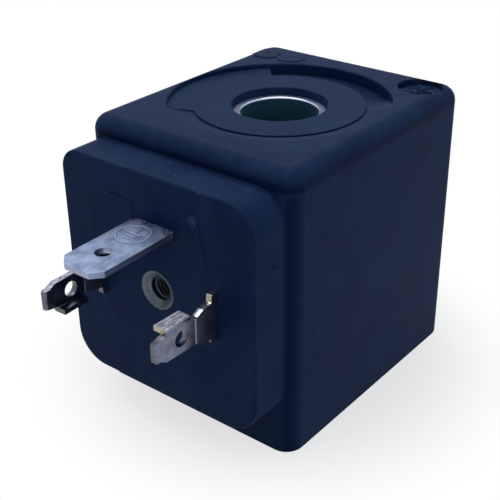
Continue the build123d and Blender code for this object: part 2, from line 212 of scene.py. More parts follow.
def carve(piece, *cutters):
    """Cuts a piece with others, one after another."""
    for cutter in cutters:
        combine(piece, cutter)


# %% [markdown]
# Sheet-metal parts and slots are flat outlines given a thickness, and bushes and recesses are
# outlines spun round an axis. The outline is a circle primitive with as many points as the
# outline has corners, each moved to its corner, which keeps them in order and joined up.

# %% Helpers for outlines


def outline(name, points, filled):
    """Closed outline through points in millimetres."""
    deselect()
    fill = "NGON" if filled else "NOTHING"
    bpy.ops.mesh.primitive_circle_add(vertices=len(points), fill_type=fill)
    piece = bpy.context.object
    piece.name = name
    for vertex, point in zip(piece.data.vertices, points):
        vertex.co = Vector(point) * MM
    return piece


def plate(name, corners, start, end, axis):
    """Outline in the plane across an axis, given a thickness along that axis."""
    points = []
    for corner in corners:
        point = list(corner)
        point.insert("XYZ".index(axis), start)
        points.append(point)
    piece = outline(name, points, True)
    step = [0, 0, 0]
    step["XYZ".index(axis)] = (end - start) * MM
    edit_all(piece)
    bpy.ops.mesh.extrude_region_move(TRANSFORM_OT_translate={"value": step})
    return outward(piece)


def turned(name, corners, degrees_a_step=2.0):
    """Outline of (radius, height) corners, spun right round the bore's axis."""
    piece = outline(name, [(r, 0, z) for r, z in corners], False)
    edit_all(piece)
    bpy.ops.mesh.spin(steps=round(360 / degrees_a_step), angle=2 * pi, center=(0, 0, 0),
                      axis=(0, 0, -1))
    return outward(piece)


def moved(piece, matrix):
    """Moves a piece's mesh, with its object left at the origin."""
    piece.data.transform(matrix)
    piece.data.update()
    return piece


# %% [markdown]
# ## Finishing a piece
# The last steps are the same for every piece. A narrow bevel catches the light on edges that
# are never quite sharp, smooth shading is kept off real corners by its angle, and weighted
# normals keep the large flat faces flat beside their rounded edges. The piece then rides on
# the model's one body and stands in for its plain solid.

# %% Helper that finishes a piece


sharp_angle = radians(30)


def break_edges(piece, width, steps):
    """Puts a narrow bevel on every sharp edge."""
    return modify(piece, "BEVEL", width=width * MM, segments=steps, limit_method="ANGLE",
                  angle_limit=sharp_angle, use_clamp_overlap=True)


def finish_piece(piece, slot, *replaced):
    """Shades a piece, and says what it rides on and the solids it stands for; slot is not used."""
    work_on(piece)
    bpy.ops.object.shade_smooth_by_angle(angle=sharp_angle)
    modify(piece, "WEIGHTED_NORMAL", keep_sharp=True, weight=100)
    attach(piece, "root")
    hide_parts(*replaced)
    print(piece.name, len(piece.data.polygons), "faces")
    return piece


# %% [markdown]
# ## The moulded block
# The real block is thermoset moulded round the finished winding in a polished tool. Its
# upright and top edges are rounded, and the rest is nearly sharp. It could be one lofted
# surface, but a box with bevelled edges is how the tool itself was cut, and it keeps the faces
# flat. The upright edges come first, so that the top's rounding runs round the corners.

# %% Block
block_half_width = 16.0
block_front = -18.8
block_back = 19.2
block_height = 38.2
side_radius = 2.5
top_radius = 2.0
bottom_radius = 0.25

body = box("coil_body", (-block_half_width, block_front, 0),
           (block_half_width, block_back, block_height))
round_edges(body, side_radius, 10, lambda a, b: near(a.x, b.x) and near(a.y, b.y))
round_edges(body, top_radius, 9, both(lambda p: near(p.z, block_height)))
round_edges(body, bottom_radius, 3, both(lambda p: near(p.z, 0)))
raised = twin(body, "raised")
print("block faces", len(body.data.polygons))

# %% [markdown]
# ## The connector pad
# The connector's gasket presses on a raised square pad. Its corners differ, which keys the
# connector's hood. Each corner is one edge along Y, rounded by its own radius, and then the
# front outline gets a small rounding before the pad is joined to the block.

# %% Pad
pad_half_width = 14.95
pad_face = -24.25
pad_bottom = 5.8
pad_top = 36.0
pad_rim_radius = 0.25
pad_corners = [(-1, pad_top, 2.8), (1, pad_top, 4.2), (-1, pad_bottom, 4.4), (1, pad_bottom, 4.4)]

pad = box("pad", (-pad_half_width, pad_face, pad_bottom),
          (pad_half_width, block_front + side_radius, pad_top))
for side, level, radius in pad_corners:
    round_edges(pad, radius, 10, both(
        lambda p: near(p.x, side * pad_half_width) and near(p.z, level)))
round_edges(pad, pad_rim_radius, 4, both(lambda p: near(p.y, pad_face)))
combine(body, pad, "UNION")
print("block with pad", len(body.data.polygons), "faces")

# %% [markdown]
# ## The recess in the top
# A washer seats in the middle of the top face. Round it the tool cut a deep track at the back,
# a ledge level with the seat on the left, and a ramp that climbs from the seat's edge to the
# top face in front. One outline spun right round makes the cutter, and then each column of its
# points is raised or lowered by its angle. That gives the track a slanted end, and the two
# steps are a pair of columns drawn close together. Cutting once leaves no slivers, which four
# cutters side by side would. The outline flares at the top face and so rounds the lip.

# %% Cutter of the seat, track, ledge and ramp
seat_radius = 11.1
recess_radius = 14.45
seat_level = block_height - 0.63
track_level = block_height - 1.5
ledge_level = seat_level - 0.004
ramp_foot = block_height - 0.85
above = block_height + 1.0
lip = 0.22
track_start = 22
track_sunk = 58
track_end = 132
ledge_end = 230
column_step = 2
step_turn = radians(1.5)
ramp_slope = (block_height - ramp_foot) / (recess_radius - 0.05 - seat_radius)

lip_points = [(recess_radius + lip * (1 - cos(t)), block_height - lip + lip * sin(t))
              for t in (0, pi / 8, pi / 4, 3 * pi / 8, pi / 2)]
recess = turned("recess", [
    (0.001, above), (0.001, seat_level), (seat_radius, seat_level), (seat_radius, track_level),
    (recess_radius, track_level), *lip_points, (recess_radius + lip, above),
])
print("cutter", len(recess.data.vertices), "points")

# %% Each column of the cutter set to its own depth


def ramp_height(radius):
    """Height of the ramp at a distance from the axis."""
    return ramp_foot + ramp_slope * (radius - seat_radius)


def column_of(place):
    """Angle of a point's column, in whole degrees."""
    return round(degrees(atan2(place.y, place.x))) % 360


for vertex in recess.data.vertices:
    place = vertex.co / MM
    radius = place.xy.length
    column = column_of(place)
    on_floor = near(place.z, track_level)
    on_lip = radius > recess_radius - 0.001 and place.z < block_height + 0.001
    if not (on_floor or on_lip):
        continue
    if track_end < column <= ledge_end:
        if on_floor:
            vertex.co.z = ledge_level * MM
    elif column < track_start or column > ledge_end:
        vertex.co.z = ramp_height(radius) * MM
    elif column < track_sunk:
        run = (column - track_start) / (track_sunk - track_start)
        sunk = run * run * (3 - 2 * run)
        vertex.co.z = (place.z * sunk + ramp_height(radius) * (1 - sunk)) * MM
turn_back = Matrix.Rotation(-step_turn, 2)
for vertex in recess.data.vertices:
    if column_of(vertex.co) in (track_end + column_step, ledge_end + column_step):
        vertex.co.xy = turn_back @ vertex.co.xy
combine(body, recess)
print("recess cut", len(body.data.polygons), "faces")

# %% [markdown]
# The throat between the seat and the upper steel ring is a shallow cone, wider at its mouth.

# %% Throat over the ring
ring_top = 36.64
throat_mouth = 6.27
throat_foot = 5.96
seat_lip = 0.12

combine(body, rod("throat", throat_foot, ring_top, seat_level + 0.001, end_radius=throat_mouth))
count = round_edges(body, seat_lip, 3, both(
    lambda p: near(p.z, seat_level) and near(p.xy.length, throat_mouth, 0.05)))
print("throat's lip", count, "edges")

# %% [markdown]
# ## Marks of the moulding tool
# At the back right corner a round cup holds the broken stub of the gate through which the
# plastic entered. The stub is a small disc whose points are pushed up and down by a fixed
# pattern, because a break is never flat. At the back left two low round buttons are the ends
# of ejector pins.

# %% Cup, gate stub and buttons
cup_at = (12.0, 14.9)
cup_radius = 3.0
cup_depth = 0.8
cup_lip = 0.12
stub_at = (12.35, 14.3)
stub_radius = 1.75
stub_height = 0.62
button_radius = 2.2
button_height = 0.12
button_top = block_height + button_height
buttons_at = [(-13.0, 14.4), (-9.1, 14.9)]

combine(body, rod("cup", cup_radius, block_height - cup_depth, above, at=cup_at, sides=72))
round_edges(body, cup_lip, 2, both(
    lambda p: near(p.z, block_height) and near((p.xy - Vector(cup_at)).length, cup_radius)))


def gate_stub():
    """Stub of the gate, with a broken and uneven top."""
    deselect()
    floor = block_height - cup_depth
    bpy.ops.mesh.primitive_grid_add(
        x_subdivisions=22, y_subdivisions=22, size=2 * stub_radius * MM,
        location=(stub_at[0] * MM, stub_at[1] * MM, (floor + stub_height) * MM))
    stub = named("gate_stub")
    centre = Vector(stub_at)
    for index, vertex in enumerate(stub.data.vertices):
        flat = vertex.co.xy / MM - centre
        reach = max(abs(flat.x), abs(flat.y))
        if flat.length > 0:
            flat = flat * reach / flat.length
        turn_angle = atan2(flat.y, flat.x)
        waves = 1 + 0.16 * sin(3 * turn_angle + 0.7) + 0.09 * sin(7 * turn_angle)
        edge = min(1.0, max(0.0, (stub_radius * waves - flat.length * 1.25) / 0.3))
        hollow = 0.42 * max(0.0, 1 - ((flat.x - 0.25) / 0.8) ** 2 - ((flat.y + 0.25) / 0.55) ** 2)
        rough = 0.11 * sin(7.1 * index) * sin(2.3 * index + 1)
        rough += 0.1 * sin(4.1 * flat.x) * sin(3.3 * flat.y + 0.4)
        height = floor - 0.06 + (stub_height + rough - hollow) * edge
        vertex.co = Vector((centre.x + flat.x, centre.y + flat.y, height)) * MM
    edit_all(stub)
    bpy.ops.mesh.extrude_region_move(TRANSFORM_OT_translate={"value": (0, 0, -0.4 * MM)})
    return outward(stub)


combine(body, gate_stub(), "UNION")
moved(raised, Matrix.Translation((0, 0, button_height * MM)))
for place in buttons_at:
    button = rod("button", button_radius, block_height - 0.6, button_top, at=place, sides=72)
    round_edges(button, 0.1, 3, both(lambda p: near(p.z, button_top)))
    combine(button, twin(raised, "limit"), "INTERSECT")
    combine(button, rod("dimple", 0.15, button_top - 0.1, button_top + 0.05, end_radius=0.42,
                        at=place, sides=24))
    combine(body, button, "UNION")
bpy.data.objects.remove(raised)
print("tool marks", len(body.data.polygons), "faces")

# %% [markdown]
# ## The hollow inside
# The plastic fills every gap round the yoke, the bobbin, the carrier and the blades, so the
# block is hollow just where they are, with a gap of a twentieth of a millimetre. Plain boxes
# and rods cut that hollow one after another. The carrier's two towers reach the pad's face,
# where their outline shows in the photograph as a fine line.

# %% Hollow for the yoke, the bobbin and the rings
gap = 0.05
yoke_half, yoke_front, yoke_back = 12.55, -17.05, 17.35
yoke_low, yoke_high = 1.55, ring_top + gap
yoke_bend = 3.55

yoke = box("yoke_space", (-yoke_half, yoke_front, yoke_low), (yoke_half, yoke_back, yoke_high))
for level in (yoke_low, yoke_high):
    round_edges(yoke, yoke_bend, 6, both(lambda p: near(p.y, yoke_back) and near(p.z, level)))
combine(yoke, box("inside_yoke", (-13, -18, 4.65), (13, 14.25, 33.59)))
cutters = [
    yoke,
    rod("bobbin_space", 13.85, 4.6, 33.64),
    rod("upper_ring_space", 7.05, 33.0, yoke_high),
    rod("lower_ring_space", 7.05, -1, 5.0),
    box("carrier_space", (-10.95, -23.1, 14.45), (10.95, -9.4, 25.65)),
    box("blade_seat_space", (-3.35, -23.1, 25.0), (3.35, -10.0, 29.15)),
    box("lead_channel", (-10.8, -10.8, 4.65), (-9.4, -9.3, 21.75)),
]
carve(body, *cutters)
print("hollowed", len(body.data.polygons), "faces")

# %% Openings in the pad's face
outside = pad_face - 1.0
screw_height = 21.05
tower_seam = 0.012
tower_inner = 3.3 - tower_seam
tower_low, tower_foot = 24.4 - tower_seam, 8.55 + tower_seam
tower_high, tower_head = 32.0 + tower_seam, 6.9 + tower_seam
tower_corners = [(tower_inner, tower_low), (tower_foot, tower_low),
                 (tower_head, tower_high), (tower_inner, tower_high)]
slot_in, slot_out, slot_low, slot_high = 8.55, 9.45, 17.85, 24.25
for side in (1, -1):
    corners = [(side * x, z) for x, z in tower_corners]
    combine(body, plate("tower_space", corners, outside, -10.0, "Y"))
    left, right = sorted((side * slot_in, side * slot_out))
    combine(body, box("blade_slot", (left, outside, slot_low), (right, -22.0, slot_high)))

# %% Witness lines where the towers' edges show
groove = 0.12
groove_depth = 0.08
overlap = 0.05
tower_slant = (tower_foot - tower_head) / (tower_high - tower_low)
short_low = 30.6
witness_low = 26.4
witness_foot = tower_head + (tower_high - witness_low) * tower_slant
groove_low, groove_high = tower_high - overlap, tower_high + groove
beside_in, beside_out = -tower_inner - overlap, -tower_inner + groove
witness_lines = [
    [(-tower_head, groove_low), (-tower_head, groove_high),
     (-tower_inner, groove_high), (-tower_inner, groove_low)],
    [(beside_in, short_low), (beside_in, groove_high),
     (beside_out, groove_high), (beside_out, short_low)],
    [(tower_head - overlap, groove_low), (tower_head + groove, groove_low),
     (witness_foot + groove / 2, witness_low), (witness_foot - overlap, witness_low)],
]
for corners in witness_lines:
    combine(body, plate("witness", corners, outside, pad_face + groove_depth, "Y"))

# %% Mouths of the insert and of the ground blade
mouth_half = 3.2
rivet_at = (0, -15.4)
carve(
    body,
    rod("insert_space", 2.65, outside, -15.8, "Y", at=(0, screw_height), sides=96),
    box("ground_mouth", (-mouth_half, outside, 29.15), (mouth_half, -16.75, 30.05)),
    box("ground_riser", (-mouth_half, -17.65, 29.16), (mouth_half, -16.75, 33.64)),
    box("ground_foot", (-mouth_half, -17.64, 32.74), (mouth_half, -14.25, 33.63)),
    rod("rivet_space", 1.15, 32.24, 37.14, at=rivet_at, sides=48),
)
print("openings cut", len(body.data.polygons), "faces")

# %% Block finished
finish_piece(body, "moulding", "encapsulation")

# %% [markdown]
# ## The steel rings in the bore
# Two turned rings carry the magnetic circuit to the armature tube. The photograph shows the
# upper one's flat end and its bright chamfer. Each is an outline spun round the bore's axis,
# with a chamfer where the tube enters and a trace of rounding on its edges.

# %% Upper and lower ring
bore_radius = 5.0
ring_radius = 7.0
ring_length = 9.0
ring_chamfer = 0.17
soft = 0.06


def ring_outline(entry, far):
    """Half section of a ring whose bore is chamfered at the height where the tube enters."""
    inward = 1 if far > entry else -1
    mouth = bore_radius + ring_chamfer
    return [(bore_radius, entry + inward * (ring_chamfer + soft)),
            (bore_radius + soft / 2, entry + inward * (ring_chamfer - soft / 2)),
            (mouth - soft / 2, entry + inward * soft / 2), (mouth + soft, entry),
            (ring_radius, entry), (ring_radius, far), (bore_radius, far)]


upper_ring = turned("steel_ring_upper", ring_outline(ring_top, ring_top - ring_length))
finish_piece(upper_ring, "ring_steel", "upper_pole_ring")
lower_ring = turned("steel_ring_lower", ring_outline(0, ring_length))
finish_piece(lower_ring, "ring_steel", "lower_pole_ring")

# %% [markdown]
# ## The ground blade
# The wide top blade is stamped from tinned brass strip and joined to the yoke inside. It is
# modelled flat, as it is stamped: the outline from the side is given its width, the bends are
# rounded, the tip is trimmed by its outline from above, and the holes and the mark are cut.
# Only then is the part beyond the kink turned down, as handling bent the real one.

# %% Ground blade, flat
blade_half_width = 3.15
blade_low = 29.2
blade_high = 30.0
ground_tip = -36.34
tip_half_width = 1.85
trim_start = -35.05
hole_radius = 1.0
kink = -26.45
droop = 2.64
foot_low = 32.79
foot_high = 33.59
riser_back, riser_front, foot_end = -16.8, -17.6, -14.3
outer_bend, inner_bend = 1.0, 0.2

ground_side = [
    (ground_tip, blade_low), (riser_back, blade_low), (riser_back, foot_low), (foot_end, foot_low),
    (foot_end, foot_high), (riser_front, foot_high), (riser_front, blade_high),
    (ground_tip, blade_high),
]
ground = plate("blade_ground", ground_side, -blade_half_width, blade_half_width, "X")
for y, z, radius in [(riser_back, blade_low, outer_bend), (riser_back, foot_low, inner_bend),
                     (riser_front, foot_high, outer_bend), (riser_front, blade_high, inner_bend)]:
    round_edges(ground, radius, 5, both(lambda p: near(p.y, y) and near(p.z, z)))
wide = blade_half_width + 1
ground_plan = [
    (-wide, -10), (-wide, trim_start), (-blade_half_width, trim_start),
    (-tip_half_width, ground_tip), (tip_half_width, ground_tip),
    (blade_half_width, trim_start), (wide, trim_start), (wide, -10),
]
combine(ground, plate("tip_trim", ground_plan, 20, 40, "Z"), "INTERSECT")
combine(ground, rod("hole", hole_radius, 28, 31, at=(0, -32.15), sides=64))
combine(ground, rod("rivet_hole", 0.75, 32, 34.5, at=rivet_at, sides=48))
break_edges(ground, 0.07, 3)
print("ground blade flat", len(ground.data.polygons), "faces")

# %% [markdown]
# The blade carries a stamped ring. A maker's sign stands in it on the real one, so here it
# holds the plain sign for earth instead: one upright line over three shorter and shorter bars.
# The marks are thin raised lines, each a small plate with its top edges rounded.

# %% Stamped ring with the sign for earth
mark_at = -27.45
mark_radius = 2.05
mark_line = 0.2
mark_rise = 0.1
mark_low = blade_high - 0.1
mark_high = blade_high + mark_rise

ring_mark = turned("mark", [
    (mark_radius - mark_line / 2, mark_low), (mark_radius + mark_line / 2, mark_low),
    (mark_radius + mark_line / 3, mark_high), (mark_radius - mark_line / 3, mark_high),
], degrees_a_step=5.0)
moved(ring_mark, Matrix.Translation((0, mark_at * MM, 0)))
combine(ground, ring_mark, "UNION")
bars = [(-0.11, 0.11, 0.1, 1.35), (-1.15, 1.15, -0.02, 0.2), (-0.75, 0.75, -0.58, -0.36),
        (-0.36, 0.36, -1.14, -0.92)]
for left, right, near_end, far_end in bars:
    bar = box("mark", (left, mark_at + near_end, mark_low), (right, mark_at + far_end, mark_high))
    round_edges(bar, 0.05, 1, both(lambda p: near(p.z, mark_high, 0.005)))
    combine(ground, bar, "UNION")
print("marked", len(ground.data.polygons), "faces")

# %% Blade turned down past its kink
work_on(ground)
bpy.ops.object.mode_set(mode="EDIT")
bpy.ops.mesh.select_mode(type="VERT")
bpy.ops.mesh.select_all(action="DESELECT")
ground_mesh = bmesh.from_edit_mesh(ground.data)
for vertex in ground_mesh.verts:
    vertex.select_set(vertex.co.y / MM < kink)
bmesh.update_edit_mesh(ground.data)
bpy.ops.transform.rotate(value=-radians(droop), orient_axis="X", orient_type="GLOBAL",
                         center_override=(0, kink * MM, (blade_low + blade_high) / 2 * MM))
bpy.ops.object.mode_set(mode="OBJECT")
tip_heights = [v.co.z / MM for v in ground.data.vertices if v.co.y / MM < ground_tip + 0.2]
print("tip's height in mm:", round(min(tip_heights), 2))
finish_piece(ground, "blade_metal", "ground_blade")

# %% [markdown]
# ## The line blades
# Each narrow blade has a root as wide as the strip, a stepped shoulder, and a blade whose upper
# edge is folded over into a lip, so that it is as thick as a connector expects. The root and
# the blade are side outlines given the strip's thickness, and the lip is a bent outline seen
# from the front and drawn out along the blade. The blade leans in a little about its root.

# %% Right line blade
blade_in = 8.6
blade_out = 9.4
half_root = 3.15
half_tail = 1.5
blade_rise = 2.15
blade_drop = 1.85
fold_foot = 1.5
root_length = 3.7
lip_start = 4.35
lip_end = 8.3
lip_width = 1.9
tip_end = 10.1
tip_half = 1.38
coin_length = 0.45
coin_depth = 0.12
tail_start, tail_end = -10.65, -4.0
lean = 2.0


def side_plate(name, corners):
    """Strip from corners given by how far out of the pad's face and above the screw they lie."""
    points = [(pad_face - out, screw_height + up) for out, up in corners]
    return plate(name, points, blade_in, blade_out, "X")


def line_blade(name):
    """Right line blade, from its tail inside to its tip."""
    root = side_plate(name, [
        (tail_start, -half_tail), (tail_start, half_tail), (tail_end, half_tail),
        (tail_end, half_root), (0.82, half_root), (0.9, 2.2), (1.2, 2.12), (2.35, 1.98),
        (3.4, fold_foot), (root_length, fold_foot), (root_length, -blade_drop), (2.9, -2.45),
        (1.25, -2.55), (1.05, -half_root), (tail_end, -half_root), (tail_end, -half_tail),
    ])
    round_edges(root, 0.1, 2, lambda a, b: (
        near(a.y, b.y) and near(a.z, b.z) and a.y < pad_face - 0.5))
    combine(root, rod("tail_hole", 0.35, 8, 10, "X", at=(-12.6, screw_height), sides=32))
    blade = side_plate("blade", [
        (root_length - 0.4, -blade_drop), (root_length - 0.4, fold_foot), (lip_end, fold_foot),
        (lip_end, tip_half), (tip_end, tip_half - 0.28), (tip_end, -tip_half + 0.2),
        (tip_end - 0.2, -tip_half), (9.3, -tip_half), (lip_end + 0.1, -blade_drop),
    ])
    tip = pad_face - tip_end
    for face, inwards in ((blade_out, -1), (blade_in, 1)):
        wedge = [(face, tip + coin_length), (face + inwards * coin_depth, tip - 0.01),
                 (face - inwards * 0.2, tip - 0.01), (face - inwards * 0.2, tip + coin_length)]
        combine(blade, plate("coin", wedge, 15, 25, "Z"))
    low, high = screw_height, screw_height + blade_rise
    underside = screw_height + fold_foot
    fold = plate("fold", [
        (blade_out, low), (blade_out, high), (blade_out - lip_width, high),
        (blade_out - lip_width, underside), (blade_in, underside), (blade_in, low),
    ], pad_face - lip_end, pad_face - lip_start, "Y")
    round_edges(fold, 0.42, 6, both(lambda p: near(p.x, blade_out) and near(p.z, high)))
    round_edges(fold, 0.1, 3, both(lambda p: near(p.x, blade_in) and near(p.z, underside)))
    combine(blade, fold, "UNION")
    combine(blade, rod("hole", hole_radius, 8, 10, "X", (pad_face - 6.0, screw_height), sides=64))
    hinge = Vector(((blade_in + blade_out) / 2, pad_face - root_length, 0)) * MM
    turn = Matrix.Rotation(-radians(lean), 4, "Z")
    leaning = Matrix.Translation(hinge) @ turn @ Matrix.Translation(-hinge)
    combine(root, moved(blade, leaning), "UNION")
    return break_edges(root, 0.055, 2)


right_blade = line_blade("blade_right")
print("right blade", len(right_blade.data.polygons), "faces")

# %% [markdown]
# The left blade is the same stamping, turned half round about the screw's axis. A turn keeps
# the faces outwards, which a mirror would not.

# %% Left line blade
left_blade = twin(right_blade, "blade_left")
moved(left_blade, Matrix.Translation((0, 0, 2 * screw_height * MM)) @ Matrix.Rotation(pi, 4, "Y"))
finish_piece(right_blade, "blade_metal", "line_terminal_right")
finish_piece(left_blade, "blade_metal", "line_terminal_left")

# %% [markdown]
# ## The threaded insert
# The connector's screw bites into a turned insert with a wide countersink. Its hole has the
# thread's outer radius, and the thread is a three-sided ridge wound along the hole by a Screw
# modifier, eleven turns at half a millimetre. A bump would not show its edges from the side.

# %% Insert and thread
insert_radius = 2.6
insert_length = 8.4
thread_major = 1.5
thread_minor = 1.24
thread_pitch = 0.5
thread_turns = 11
sink_radius = 2.42
sink_depth = 0.6
grip_start, grip_end, grip_radius = 3.6, 4.8, insert_radius - 0.5

insert = turned("threaded_insert", [
    (0.001, insert_length), (insert_radius, insert_length), (insert_radius, grip_end),
    (grip_radius, grip_end), (grip_radius, grip_start), (insert_radius, grip_start),
    (insert_radius, 0.06), (insert_radius - 0.06, 0), (sink_radius + 0.05, 0),
    (sink_radius - 0.03, 0.05), (thread_major + 0.06, sink_depth - 0.03),
    (thread_major, sink_depth + 0.05), (thread_major, 7.0), (0.001, 7.6),
], degrees_a_step=3.0)
ridge = outline("ridge", [
    (thread_major + 0.05, 0, 1.0), (thread_major + 0.05, 0, 1.42),
    (thread_minor + 0.02, 0, 1.25), (thread_minor + 0.02, 0, 1.17),
], False)
modify(ridge, "SCREW", axis="Z", angle=2 * pi, screw_offset=thread_pitch * MM,
       iterations=thread_turns, steps=48, render_steps=48)
bpy.ops.object.mode_set(mode="EDIT")
bpy.ops.mesh.select_all(action="DESELECT")
bpy.ops.mesh.select_mode(type="EDGE")
bpy.ops.mesh.select_non_manifold()
bpy.ops.mesh.fill_holes(sides=0)
outward(ridge)
combine(insert, ridge, "UNION")
moved(insert, Matrix.Rotation(-pi / 2, 4, "X"))
moved(insert, Matrix.Translation((0, pad_face * MM, screw_height * MM)))
finish_piece(insert, "insert_metal", "screw_insert")

# %% [markdown]
# ## Finishes as Python expressions
# A material is a graph of nodes. The class Shade wraps one output so that Python's operators
# add the Math nodes, and Finish adds every other node through one method. What changes over
# a surface reaches only the colour, the roughness, the metallic value and the bump.

# %% Node helpers


class Shade:
    """One output of a node. An operator on it adds the Math node that does the sum."""

    def __init__(self, finish, socket):
        self.finish = finish
        self.socket = socket

    def __add__(self, other):
        return self.finish.math("ADD", self, other)

    def __radd__(self, other):
        return self.finish.math("ADD", other, self)

    def __sub__(self, other):
        return self.finish.math("SUBTRACT", self, other)

    def __rsub__(self, other):
        return self.finish.math("SUBTRACT", other, self)

    def __mul__(self, other):
        return self.finish.math("MULTIPLY", self, other)


class Finish:
    """A material that is built up node by node."""

    def __init__(self, name, **shader):
        self.material = bpy.data.materials.new(name)
        self.material.use_nodes = True
        self.tree = self.material.node_tree
        self.shader = self.tree.nodes["Principled BSDF"]
        for socket, value in shader.items():
            self.shader.inputs[socket.replace("_", " ")].default_value = value
        metres = self.node("TexCoord", output="Object")
        self.place = self.node("VectorMath", {"operation": "SCALE"}, {0: metres, "Scale": 1 / MM})

    def node(self, kind, settings=None, values=None, output=0):
        """Adds a node. Its settings come first, and then the values or links of its sockets."""
        made = self.tree.nodes.new("ShaderNode" + kind)
        for key, value in (settings or {}).items():
            setattr(made, key, value)
        for key, value in (values or {}).items():
            self.join(value, made.inputs[key])
        return Shade(self, made.outputs[output])

    def join(self, value, socket):
        """Links a Shade to a socket, or sets the socket to a plain value."""
        if isinstance(value, Shade):
            self.tree.links.new(value.socket, socket)
        else:
            socket.default_value = value

    def math(self, operation, first, second=0.0):
        """Adds a Math node."""
        return self.node("Math", {"operation": operation}, {0: first, 1: second})

    def vector(self, operation, *values, output=0):
        """Adds a Vector Math node."""
        return self.node("VectorMath", {"operation": operation}, dict(enumerate(values)), output)

    def axis(self, letter):
        """One coordinate in millimetres."""
        return self.node("SeparateXYZ", values={0: self.place}, output=letter)

    def noise(self, size, detail=2.0, rough=0.5, stretch=(1, 1, 1), shift=0.0):
        """Soft noise from 0 to 1, with lumps of a size in millimetres, longer where stretched."""
        scale = [1 / (size * s) for s in stretch]
        spot = self.vector("MULTIPLY_ADD", self.place, scale, (shift,) * 3)
        return self.noise_at(spot, detail, rough)

    def noise_at(self, spot, detail, rough):
        """Soft noise from 0 to 1 at a spot."""
        return self.node("TexNoise", values={
            "Vector": spot, "Scale": 1.0, "Detail": detail, "Roughness": rough})

    def range(self, value, low, high, to_low=0.0, to_high=1.0):
        """A value from low to high made one from to_low to to_high, smoothly."""
        return self.node("MapRange", {"interpolation_type": "SMOOTHSTEP"}, {
            "Value": value, "From Min": low, "From Max": high, "To Min": to_low, "To Max": to_high})

    def fade(self, value, low, high):
        """1 below a value and 0 above another, smoothly."""
        return self.range(value, low, high, 1.0, 0.0)

    def facing(self, letter):
        """How far the surface faces along an axis, from -1 to 1."""
        normal = self.node("TexCoord", output="Normal")
        return self.node("SeparateXYZ", values={0: normal}, output=letter)

    def distance(self, place):
        """Distance in millimetres from a place."""
        return self.vector("DISTANCE", self.place, place, output="Value")

    def radius(self, centre, across):
        """Distance in millimetres from a line through a centre, measured across it."""
        off = self.vector("SUBTRACT", self.place, centre)
        return self.vector("LENGTH", self.vector("MULTIPLY", off, across), output="Value")

    def blend(self, mask, first, second):
        """First colour where the mask is 0, and second where it is 1, each a Shade or a triple."""
        first, second = (colour(*c) if isinstance(c, tuple) and len(c) == 3 else c
                         for c in (first, second))
        return self.node("Mix", {"data_type": "RGBA"}, {0: mask, 6: first, 7: second}, 2)

    def bump(self, height, depth):
        """Relief of a depth in millimetres."""
        return self.node("Bump", values={"Height": height, "Distance": depth * MM, "Strength": 1.0})

    def done(self, **sockets):
        """Links what changes over the surface to the shader."""
        for socket, value in sockets.items():
            self.join(value, self.shader.inputs[socket.replace("_", " ")])
        return self.material


def colour(red, green, blue):
    """Colour as it shows on a screen, from 0 to 255, for a node's socket."""
    linear = [(v / 255 / 12.92) if v <= 10 else ((v / 255 + 0.055) / 1.055) ** 2.4
              for v in (red, green, blue)]
    return (*linear, 1.0)


def wear(material, *pieces):
    """Gives pieces or CAD nodes one finish all over."""
    for piece in pieces:
        piece.data.materials.clear()
        piece.data.materials.append(material)


# %% [markdown]
# ## Moulded plastic
# The block is a dark blue-black thermoset with a satin skin. Up close it is not one colour:
# broad clouds from the flow of the plastic, faint streaks up the sides, a fine speckle from
# the filler, and a few specks of dust. Its gloss is low and uneven.
# Painted shade darkens the block's front beside the pad and a ragged band along the pad's top, and
# one mark is a painted highlight.

# %% Moulding


